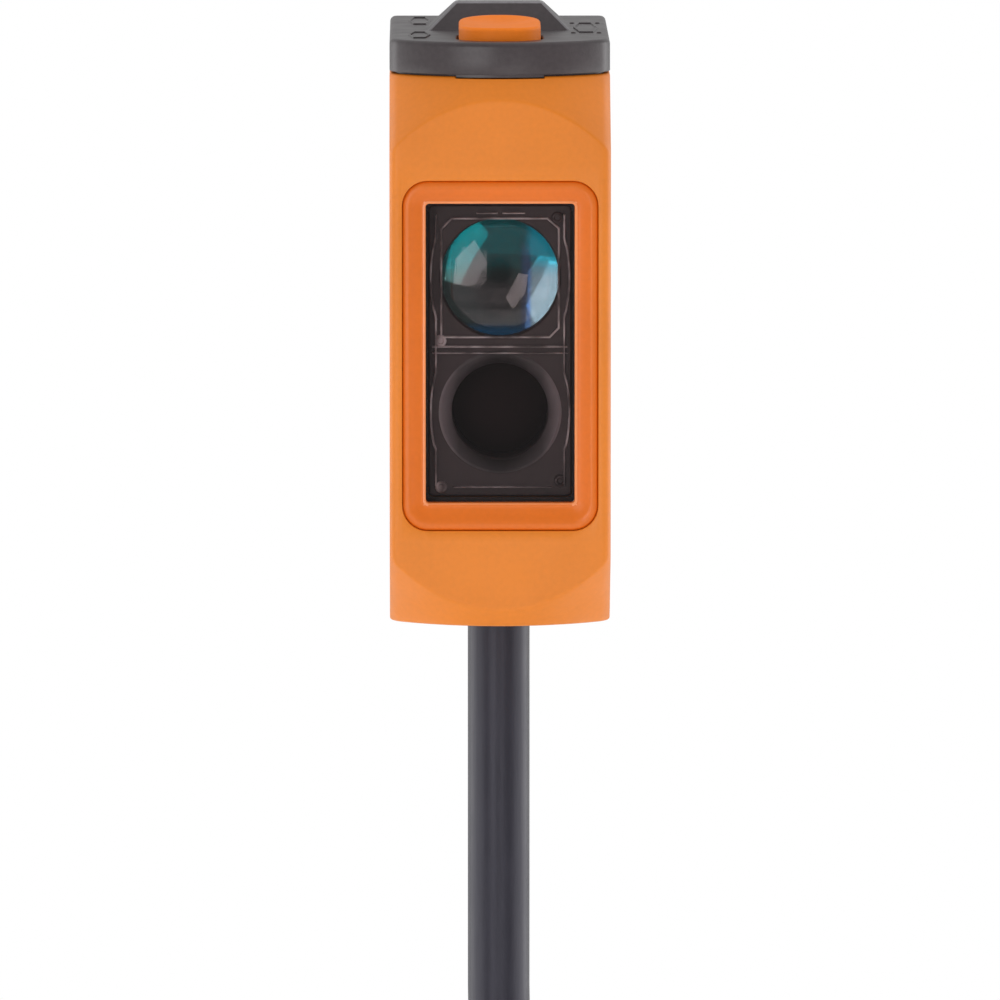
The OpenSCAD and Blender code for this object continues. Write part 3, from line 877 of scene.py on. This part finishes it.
BEZEL_LOW, BEZEL_HIGH = corners("window_bezel")
BEZEL_W, BEZEL_H = (BEZEL_HIGH - BEZEL_LOW).xz
BEZEL_Z = (BEZEL_HIGH.z + BEZEL_LOW.z) / 2
BEZEL_R = 1.75
PANE_LOW, PANE_HIGH = corners("front_window")
RIM = 0.14
WALL = 1.2
END_FRONT = FRONT + 5.8
COVER_Y = corners("rear_cover")[0].y
BORE_R = 2.22
BOSS_R = 2.8
# Half the height of the room behind the window, and half the size of the rear cover's opening
ROOM_Z = 12.6
HATCH_X, HATCH_Z = 6.4, 17.8
# The pane's seat, and the narrower throat behind it that holds the lens retainer
SEAT_W, SEAT_H = 11.7, 22.2
THROAT_W, THROAT_H = 10.14, 20.54
RETAINER_GAP = 0.1
# Half the width and the depth of the notch in the top edge that takes the cap's lip
LIP_X, LIP_DEEP = 3.1, 0.14


def frame_pocket():
    """The pocket for the window's frame, with a rounded rim, cut into the front."""

    def outline(grow):
        w, h, r = BEZEL_W + 0.04, BEZEL_H + 0.04, BEZEL_R + 0.02
        return rounded(w + 2 * grow, h + 2 * grow, r + grow, 0, BEZEL_Z)

    rows = [(FRONT - 1, RIM)]
    for s, _ in sines(0, 22, 45, 67, 90):
        rows.append((FRONT + RIM * s, RIM * (1 - sqrt(1 - (1 - s) ** 2))))
    rows.append((FRONT + 1.25, 0))
    return stack(upright, outline, rows)


def make_housing():
    housing = build("housing_shell", loft(housing_rows()))
    inner_w = HALF_W - WALL
    cut(
        housing,
        box((-inner_w, CARRIER_Y, -ROOM_Z), (inner_w, COVER_Y, ROOM_Z)),
        box((-inner_w, END_FRONT, BOTTOM + WALL), (inner_w, COVER_Y, TOP + 1)),
        box((-HATCH_X, COVER_Y - 0.01, -HATCH_Z), (HATCH_X, BACK + 1, HATCH_Z)),
    )
    for side in (-1, 1):
        boss = [sideways(circle(BOSS_R, 0, side * HOLE_Z), x) for x in (0.5 - HALF_W, HALF_W - 0.5)]
        carve(housing, "UNION", loft(boss))
    seat = loft([upright(rounded(SEAT_W, SEAT_H, 0.6), y) for y in (FRONT + 0.5, FRONT + 2.55)])
    lip = loft([upright(rounded(THROAT_W, THROAT_H, 0.4), y) for y in (FRONT + 1, CARRIER_Y + 1)])
    cut(housing, frame_pocket(), seat, lip)
    chamfer = 0.2
    half_bore = [(1, BORE_R + chamfer), (0, BORE_R + chamfer), (-chamfer, BORE_R)]
    rows = [(-HALF_W - out, r) for out, r in half_bore]
    rows += [(HALF_W + out, r) for out, r in reversed(half_bore)]
    for side in (-1, 1):
        bore = stack(sideways, lambda r: circle(r, 0, side * HOLE_Z), rows)
        cut(housing, bore)
    rows = ((BOTTOM - 1, 3.2), (BOTTOM, 3.2), (BOTTOM + 0.25, 2.9), (BOTTOM + WALL + 1, 2.9))
    exit_hole = stack(level, lambda r: circle(r, 0, CABLE_Y), rows)
    notch = box((-LIP_X, FRONT - 1, TOP - LIP_DEEP), (LIP_X, END_FRONT, TOP + 1))
    cut(housing, exit_hole, notch)
    finish(housing, "orange_plastic", "housing")


def make_rear_cover():
    """The welded back plate, with a shallow rim and two ejector marks."""
    w, h = HATCH_X - 0.06, HATCH_Z - 0.06
    loops = []
    for fall, inset in ((1.2, 0.0), (0.12, 0.0), (0.035, 0.035), (0.0, 0.12)):
        loops.append(upright(rounded(2 * (w - inset), 2 * (h - inset), 0.35), BACK - fall))
    loops.append(upright(rounded(2 * (w - 0.9), 2 * (h - 0.9), 0.5), BACK))
    loops.append(upright(rounded(2 * (w - 1.0), 2 * (h - 1.0), 0.45), BACK - 0.12))
    cover = build("rear_cover_plate", loft(loops))
    for z in (-9, 9):
        mark = [upright(circle(1.1, 0, z, 40), y) for y in (BACK - 0.2, BACK + 0.5)]
        cut(cover, loft(mark))
    finish(cover, "orange_plastic", "rear_cover")


def make_bezel():
    """The frame round the window: a rounded rim, a face that dips inwards and a rounded inner edge."""
    back = BEZEL_HIGH.y
    opening_w, opening_h, opening_r = 10.36, 20.9, 0.24

    def outline(share, grow=0.0):
        """Between the opening (0) and the frame's own outline (1), grown a little."""
        w = opening_w + share * (BEZEL_W - opening_w) + 2 * grow
        h = opening_h + share * (BEZEL_H - opening_h) + 2 * grow
        r = opening_r + share * (BEZEL_R - opening_r) + grow
        return rounded(w, h, r, 0, share * BEZEL_Z, 10)

    face = FRONT + 0.05
    shoulder, round_over = 0.28, 0.5
    loops = [upright(outline(1), back), upright(outline(1), face + shoulder)]
    for s, c in sines(15, 30, 45, 60, 75, 90):
        loops.append(upright(outline(1, -round_over * (1 - c)), face + shoulder * (1 - s)))
    for share, fall in ((0.60, 0.10), (0.50, 0.20), (0.38, 0.29), (0.26, 0.36), (0.17, 0.41), (0.12, 0.40)):
        loops.append(upright(outline(share), face + fall))
    edge = face + 0.36
    bead = 0.16
    for s, c in sines(20, 45, 70, 90):
        loops.append(upright(outline(0, bead * (1 - s)), edge + bead * (1 - c)))
    loops.append(upright(outline(0), back))
    bezel = build("bezel_frame", loft(loops, ring=True))
    finish(bezel, "orange_frame", "window_bezel", sharp=40)
    # Painted highlight: the forward-facing faces of the bead round the opening get a paler orange, which
    # stands in for light along that edge.
    bezel.data.materials.append(MATERIALS["frame_edge_highlight"])
    for spot in bezel.data.polygons:
        x, _, z = (abs(v) for v in spot.center / MM)
        if max(x - opening_w / 2, z - opening_h / 2) < bead and spot.normal.y < -0.2:
            spot.material_index = 1


def make_pane():
    w, h = (PANE_HIGH - PANE_LOW).xz
    loops = []
    for y, inward in ((PANE_LOW.y, 1), (PANE_HIGH.y, -1)):
        steps = [(0.0, 0.12), (0.04, 0.04), (0.12, 0.0)]
        for deep, inset in steps[::inward]:
            loops.append(upright(rounded(w - 2 * inset, h - 2 * inset, 0.55 - inset), y + inward * deep))
    finish(build("window_pane", loft(loops)), "window_plastic", "front_window")


def make_gasket():
    """The seal in the pane's seat: a flat ring with a rounded bead towards the pane."""
    low, high = corners("window_gasket")
    outer_w, outer_h = (high - low).xz
    inner_w, inner_h = 10.1, 20.5
    loops = []
    bead = low.y + 0.05
    for share, y in ((0, high.y), (0, bead), (0.1, low.y), (0.9, low.y), (1, bead), (1, high.y)):
        w = outer_w + share * (inner_w - outer_w)
        h = outer_h + share * (inner_h - outer_h)
        loops.append(upright(rounded(w, h, 0.5 - 0.1 * share), y))
    finish(build("pane_seal", loft(loops, ring=True)), "rubber_seal", "window_gasket")


# -------- optics behind the pane

LENS_LOW, LENS_HIGH = corners("receiver_lens")
LENS_R = (LENS_HIGH.x - LENS_LOW.x) / 2
LENS_Z = (LENS_HIGH.z + LENS_LOW.z) / 2
EMIT_LOW, EMIT_HIGH = corners("emitter_lens")
EMIT_R = (EMIT_HIGH.x - EMIT_LOW.x) / 2
EMIT_Z = (EMIT_HIGH.z + EMIT_LOW.z) / 2


def domed(name, low, high, r, z):
    """A lens: flat at the back, straight at the edge, with a domed front."""
    edge = 1.1
    dome = high.y - low.y - edge
    sphere = (r * r + dome * dome) / (2 * dome)
    widest = asin(r / sphere)
    profile = [(0.0, high.y), (r - 0.08, high.y), (r, high.y - 0.08), (r, low.y + dome)]
    for i in range(25):
        a = widest * (1 - i / 24)
        profile.append((sphere * sin(a), low.y + sphere * (1 - cos(a))))
    return build(name, lathe(profile, (0, 0, z), "y", 96))


def ridge(path, width, low, high, closed=False):
    """A fine raised line on an upright face: path is in X and Z, low and high are depths."""
    parts = []
    count = len(path) if closed else len(path) - 1
    for i in range(count):
        (ax, az), (bx, bz) = path[i], path[(i + 1) % len(path)]
        length = hypot(bx - ax, bz - az)
        ux, uz = (bx - ax) / length, (bz - az) / length
        loops = []
        for y, reach, side in ((low, 0.45 * width, 0.5 * width), (high, 0.0, 0.2 * width)):
            sx, sz, tx, tz = ax - ux * reach, az - uz * reach, bx + ux * reach, bz + uz * reach
            nx, nz = -uz * side, ux * side
            outline = [(sx - nx, sz - nz), (tx - nx, tz - nz), (tx + nx, tz + nz), (sx + nx, sz + nz)]
            loops.append(upright(outline, y))
        parts.append(loft(loops))
    return parts


def scallop(side):
    """The rib along one side, which bulges round the lens and round the lower opening."""
    path = []
    for i in range(61):
        z = -9.4 + 18.9 * i / 60
        bulge = 0.0
        for centre in (LENS_Z, EMIT_Z):
            away = (z - centre) / 2.6
            bulge = max(bulge, 0.36 * max(0.0, 1 - away * away) ** 0.7)
        path.append((side * (4.48 + bulge), z))
    return path


def make_retainer():
    """The thin frame behind the pane, with its ribs, pin heads and the mouth of the emitter funnel."""
    back = CARRIER_Y
    face = back - 0.7

    def outline(inset):
        shrink = 2 * (RETAINER_GAP + inset)
        return rounded(THROAT_W - shrink, THROAT_H - shrink, 0.3)

    rows = ((back, 0), (face + 0.08, 0), (face, 0.08))
    plate = build("lens_retainer_frame", stack(upright, outline, rows))
    for r, z in ((LENS_R + 0.05, LENS_Z), (4.2, EMIT_Z)):
        rows = ((face - 1, 0.12), (face, 0.12), (face + 0.05, 0.04), (face + 0.12, 0), (back + 1, 0))
        hole = stack(upright, lambda grow: circle(r + grow, 0, z, 96), rows)
        cut(plate, hole)
    top = face - 0.22
    foot = face + 0.05
    cell = [(-4.1, 0.95), (3.45, 0.95), (4.1, 1.6), (4.1, 8.55), (3.3, 9.25), (-3.4, 9.25), (-4.1, 8.5)]
    lines = ridge(cell, 0.17, foot, top, closed=True)
    lines += ridge([(-4.7, 0.28), (4.7, 0.28)], 0.16, foot, top - 0.05)
    for left, right, z in ((-4.7, 4.7, -0.16), (-3.2, 3.6, -9.55), (-1.6, -0.2, 9.62), (0.2, 1.7, 9.62)):
        lines += ridge([(left, z), (right, z)], 0.12, foot, top)
    for side in (-1, 1):
        lines += ridge(scallop(side), 0.18, foot, face - 0.25)
    head = [(0.0, face + 0.1), (0.42, face + 0.1), (0.42, face - 0.12), (0.36, face - 0.2)]
    head += [(0.24, face - 0.22), (0.18, face - 0.12), (0.0, face - 0.1)]
    pins = [lathe(head, (x, 0, z), "y", 28) for x, z in ((4.2, -9.1), (4.0, 9.3))]
    # Two pin heads take the ribs' painted highlight, which stands in for glints on them.
    painted_glint_pins = [lathe(head, (x, 0, z), "y", 28) for x, z in ((-4.1, -9.55), (-4.15, 0.7))]
    finish(plate, "black_plastic", "lens_retainer")
    finish(build("retainer_pins", *pins), "black_plastic", "lens_retainer")
    # The ribs are real; their near-white colour is painted highlight.
    ribs = build("retainer_ribs", *lines, *painted_glint_pins)
    finish(ribs, "black_plastic", "lens_retainer", material=MATERIALS["painted_highlight_edge"])
    # The funnel's mouth carries painted light: paler at its sides, darker at top and bottom.
    rim = [(4.3, face + 0.3), (4.3, face + 0.02), (4.12, face - 0.01), (3.9, face + 0.1)]
    rim += [(3.44, face + 0.62), (3.38, face + 0.72), (3.38, face + 0.85), (4.3, face + 0.85)]
    ring = build("emitter_rim", lathe(rim, (0, 0, EMIT_Z), "y", 96))
    finish(ring, "black_plastic", "lens_retainer", material=MATERIALS["rim_painted_light"])


# -------- cap and button

CAP_FRONT = FRONT + BEVEL_TOP
CAP_BOW_R = 9.93
CAP_EDGE = 0.38
GUARD_START, GUARD_END, GUARD_SLOPE = 12.7, 18.1, 1.8
GUARD_TOP_W, GUARD_FOOT_W = 6.1, 10.0
BUTTON_FOOT = corners("push_button")[0].z
BUTTON_W, BUTTON_L = 5.72, 8.6
BUTTON_FRONT = CAP_FRONT + 1.6
BUTTON_Y = BUTTON_FRONT + BUTTON_L / 2
BUTTON_R = BUTTON_W / 2 - 0.3
SWITCH_Y = FRONT + 9.3
PIPE_LOW, PIPE_HIGH = corners("light_pipes")
PIPE_X = 3
PIPE_Y = (PIPE_LOW.y + PIPE_HIGH.y) / 2


def cap_row(z, inset=0.0):
    outline = []
    for x, fillet in front_columns():
        drop = sqrt(CAP_BOW_R**2 - x * x)
        outline.append((x, CAP_FRONT + CAP_BOW_R - drop + fillet * hypot(1, x / drop)))
    return level(shrunk(outline + back_corners(), inset), z)


def guard_solid():
    """A trapezium seen from the front and from the side; its foot runs on into the cap."""
    rise = GUARD_TOP - DECK
    sunk = 0.5
    front, rear = GUARD_START + GUARD_SLOPE, GUARD_END - GUARD_SLOPE
    flare_x = (GUARD_FOOT_W - GUARD_TOP_W) / 2 / rise
    flare_y = GUARD_SLOPE / rise
    loops = []
    for z in (DECK - sunk, GUARD_TOP):
        down = GUARD_TOP - z
        x = GUARD_TOP_W / 2 + flare_x * down
        near = CAP_FRONT + front - flare_y * down
        far = CAP_FRONT + rear + flare_y * down
        loops.append(level([(-x, near), (x, near), (x, far), (-x, far)], z))
    guard = build("guard", loft(loops))
    soften(guard, 0.16)
    return guard


def pill(grow, z):
    """The button's outline, grown a little, at a height."""
    w, l = BUTTON_W + 2 * grow, BUTTON_L + 2 * grow
    return level(rounded(w, l, BUTTON_R + grow, 0, BUTTON_Y, 12), z)


def deck_mark(path):
    """A closed, fine raised line on the deck; path is in X and Y."""
    heights = (DECK - 0.05, DECK + 0.10)
    marks = []
    for points, faces in ridge(path, 0.17, 0, 1, closed=True):
        marks.append(([(x, y, heights[step]) for x, step, y in points], faces))
    return marks


def hexagon(cx, cy, half_x, half_y):
    """A long six-sided outline on the deck, half_x across and half_y front to back."""
    nose = half_x * 0.55
    right = [(nose, -half_y), (half_x, 0), (nose, half_y)]
    left = [(-x, -y) for x, y in right]
    return [(cx + x, cy + y) for x, y in left[2:] + right + left[:2]]


def paint_guard_edge_highlights(cap):
    """Painted highlight: the guard's rounded edges get a paler colour than its flat faces, which stands in
    for light catching them.
    """
    rise = GUARD_TOP - DECK
    run_x, run_y = (GUARD_FOOT_W - GUARD_TOP_W) / 2, GUARD_SLOPE
    flats = [Vector((0, 0, 1)), Vector((rise, 0, run_x)), Vector((-rise, 0, run_x))]
    flats += [Vector((0, rise, run_y)), Vector((0, -rise, run_y))]
    cap.data.materials.append(MATERIALS["cap_edge_highlight"])
    for face in cap.data.polygons:
        x, y, z = face.center / MM
        on_guard = abs(x) < GUARD_FOOT_W / 2 and GUARD_START < y - CAP_FRONT < GUARD_END
        bent = max(face.normal.dot(flat.normalized()) for flat in flats) < 0.995
        if on_guard and bent and z > DECK + 0.02:
            face.material_index = 1


def make_cap():
    """The cover with its guard, the lip over the front, the button's opening and the deck's marks."""
    rows = []
    for rise, inset in ((0.0, 0.45), (0.13, 0.45), (0.13, 0.05), (0.15, 0.015), (0.19, 0.0)):
        rows.append(cap_row(TOP + rise, inset))
    rows.append(cap_row(TOP + 1.0))
    for s, c in sines(0, 15, 30, 45, 60, 75, 90):
        rows.append(cap_row(DECK - CAP_EDGE * (1 - s), CAP_EDGE * (1 - c)))
    cap = build("cap_cover", loft(rows))
    tongue = box((-6.13, END_FRONT + 0.35, TOP - 1.2), (6.13, COVER_Y - 0.35, TOP + 0.5))
    lip_plan = [(x, y) for x, y, _ in cap_row(TOP) if abs(x) < LIP_X and y < 0]
    lip_plan += [(x, END_FRONT - 0.1) for x in (3.05, -3.05)]
    lip = loft([level(lip_plan, TOP - 0.05), level(lip_plan, TOP + 0.14)])
    carve(cap, "UNION", guard_solid(), tongue, lip)
    opening = [(0.12, TOP - 0.5), (0.12, DECK - 0.14), (0.16, DECK - 0.05), (0.26, DECK), (0.26, DECK + 1)]
    cut(
        cap,
        box((-5.3, END_FRONT + 1.1, TOP - 2), (5.3, COVER_Y - 1.1, TOP + 1)),
        box((-3.4, CAP_FRONT + 1.2, TOP - 1), (3.4, END_FRONT + 1.2, TOP + 1)),
        loft([pill(grow, z) for grow, z in opening]),
    )
    rows = ((TOP - 1, 0.82), (DECK - 0.1, 0.82), (DECK, 0.92), (DECK + 1, 0.92))
    for side in (-1, 1):
        hole = stack(level, lambda r: circle(r, side * PIPE_X, PIPE_Y, 40), rows)
        cut(cap, hole)
    marks = []
    for place in ((-5.6, -2.4, 0.72, 3.4), (-5.6, -17.0, 0.7, 2.8), (6.1, -9.6, 0.8, 4.6)):
        marks += deck_mark(hexagon(*place))
    dot = [(r, DECK + rise) for r, rise in ((0, -0.05), (0.18, -0.05), (0.18, 0.05), (0.12, 0.09), (0, 0.1))]
    for x, y in ((5.2, -4.6), (7.0, -4.6), (5.2, -14.6), (7.0, -14.6)):
        marks.append(lathe(dot, (x, y, 0), "z", 20))
    join(cap, build("marks", *marks))
    finish(cap, "dark_plastic", "top_cap")
    paint_guard_edge_highlights(cap)


CROWN_R = 50.0
CROWN_TILT = 2.5
BUTTON_PROUD = 0.9
BUTTON_EDGE = 0.24
# The thumb dish: steps in from the outline, and depth below the crown
BUTTON_DISH = ((0.45, 0.0), (0.6, 0.04), (0.8, 0.10), (1.15, 0.18), (1.6, 0.24), (2.05, 0.27), (2.45, 0.28))


def crown(x, y):
    """Height of the button's top: curved across and rising to the back."""
    rise = (y - BUTTON_FRONT) * tan(radians(CROWN_TILT))
    return DECK + BUTTON_PROUD + rise - (CROWN_R - sqrt(CROWN_R**2 - x * x))


def make_button():
    """The push button: a flange below the cap, straight sides, a dished top and the stem."""
    flange = TOP + 0.45
    steps = ((0.2, 0), (0.25, 0.06), (0.25, 0.44), (0.2, 0.5), (0.0, 0.5))
    loops = [pill(grow, flange + rise) for grow, rise in steps]
    for s, c in sines(0, 15, 30, 45, 60, 75, 90):
        ring = pill(-BUTTON_EDGE * (1 - c), 0)
        loops.append([(x, y, crown(x, y) - BUTTON_EDGE * (1 - s)) for x, y, _ in ring])
    for inset, dish in BUTTON_DISH:
        w, l = BUTTON_W - 2 * inset, BUTTON_L - 2 * inset
        ring = rounded(w, l, max(w / 2 - 0.3, 0.05), 0, BUTTON_Y, 12)
        loops.append([(x, y, crown(x, y) - dish) for x, y in ring])
    stem = loft([level(circle(1.0, 0, SWITCH_Y, 40), z) for z in (BUTTON_FOOT, flange + 0.2)])
    button = build("button_cap", loft(loops), stem)
    finish(button, "orange_button", "push_button", body="button", sharp=50)


def make_light_pipes():
    low, high = PIPE_LOW.z, PIPE_HIGH.z
    profile = [(0.0, low), (0.74, low), (0.8, low + 0.06), (0.8, high - 0.12), (0.74, high - 0.04)]
    profile += [(0.5, high + 0.02), (0.25, high + 0.045), (0.0, high + 0.05)]
    for name, x in (("left", -PIPE_X), ("right", PIPE_X)):
        pipe = build(f"light_pipe_{name}", lathe(profile, (x, PIPE_Y, 0), "z", 40))
        finish(pipe, "clear_plastic", "light_pipes", sharp=50)


def make_sleeves():
    profile = [(1.6, -HALF_W + 0.25), (1.85, -HALF_W), (2.05, -HALF_W), (SLEEVE_R, -HALF_W + 0.15)]
    profile += [(r, -x) for r, x in reversed(profile)]
    for side, name in ((-1, "lower"), (1, "upper")):
        sleeve = build(f"sleeve_{name}", lathe(profile, (0, 0, side * HOLE_Z), "x", 72))
        finish(sleeve, "sleeve_steel", "mounting_sleeves")


def make_gland():
    low, high = corners("cable_gland")
    bore = CABLE_R + 0.03
    nose = ((2.6, 0), (2.85, 0.15), (2.95, 0.5), (2.8, 0.62), (2.8, 0.8), (3.1, 0.92))
    profile = [(bore, low.z)] + [(r, low.z + rise) for r, rise in nose]
    profile += [(3.25, BOTTOM - 0.12), (3.2, BOTTOM - 0.01), (2.85, BOTTOM - 0.01), (2.85, BOTTOM + WALL)]
    profile += [(3.5, BOTTOM + WALL), (3.5, high.z), (bore, high.z)]
    gland = build("strain_relief", lathe(profile, (0, CABLE_Y, 0), "z", 72))
    finish(gland, "rubber_seal", "cable_gland")


def make_lenses():
    lens = domed("receiver_dome", LENS_LOW, LENS_HIGH, LENS_R, LENS_Z)
    finish(lens, "lens_glass", "receiver_lens", sharp=50)
    # A thin mirror disc at the lens's back carries the teals and the painted reflections.
    back = LENS_HIGH.y - 0.12
    r = LENS_R - 0.05
    disc = [(0.0, back), (r, back), (r, back + 0.04), (0.0, back + 0.04)]
    reflection_disc = build("receiver_reflection_disc", lathe(disc, (0, 0, LENS_Z), "y", 96))
    look = lens_painted_reflections("lens_painted_reflections", LENS_Z, LENS_R)
    finish(reflection_disc, "lens_glass", "receiver_lens", material=look)
    emitter = domed("emitter_dome", EMIT_LOW, EMIT_HIGH, EMIT_R, EMIT_Z)
    finish(emitter, "red_lens", "emitter_lens", sharp=50)


def finish_cad_nodes():
    """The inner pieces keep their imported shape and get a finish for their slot."""
    slots = {row["node"]: row["material_slot"] for row in frame["record"]["subparts"]}
    for name, node in frame["nodes"].items():
        if not node.hide_render:
            node.data.materials.clear()
            node.data.materials.append(MATERIALS[slots[name]])


FLOOR_Z = -142.5


def make_floor():
    """A pale round table top below the coil."""
    edge = [(0.0, 0.0), (300.0, 0.0), (302.0, -2.0), (300.0, -6.0), (0.0, -6.0)]
    floor = build("floor", lathe(edge, (0, 0, FLOOR_Z), "z", 96))
    floor.data.transform(Matrix.Scale(MM, 4))
    material, tree, shader = new_material("floor_paint", Roughness=0.7, Specular_IOR_Level=0.1)
    tree.dress(shader, tree.ramp(tree.noise(30), [(0.3, 0.90), (0.7, 0.93)]))
    floor.data.materials.append(material)


cable, cable_length = make_cable()
ties = make_ties()
core_ends = make_core_ends()
make_gland()
make_housing()
make_rear_cover()
make_bezel()
make_pane()
make_gasket()
make_retainer()
make_lenses()
make_cap()
make_button()
make_light_pipes()
make_sleeves()
finish_cad_nodes()
make_floor()

make_world()
make_floor_wash()
for row in PANELS:
    panel(*row)
scene.view_settings.view_transform = "Standard"
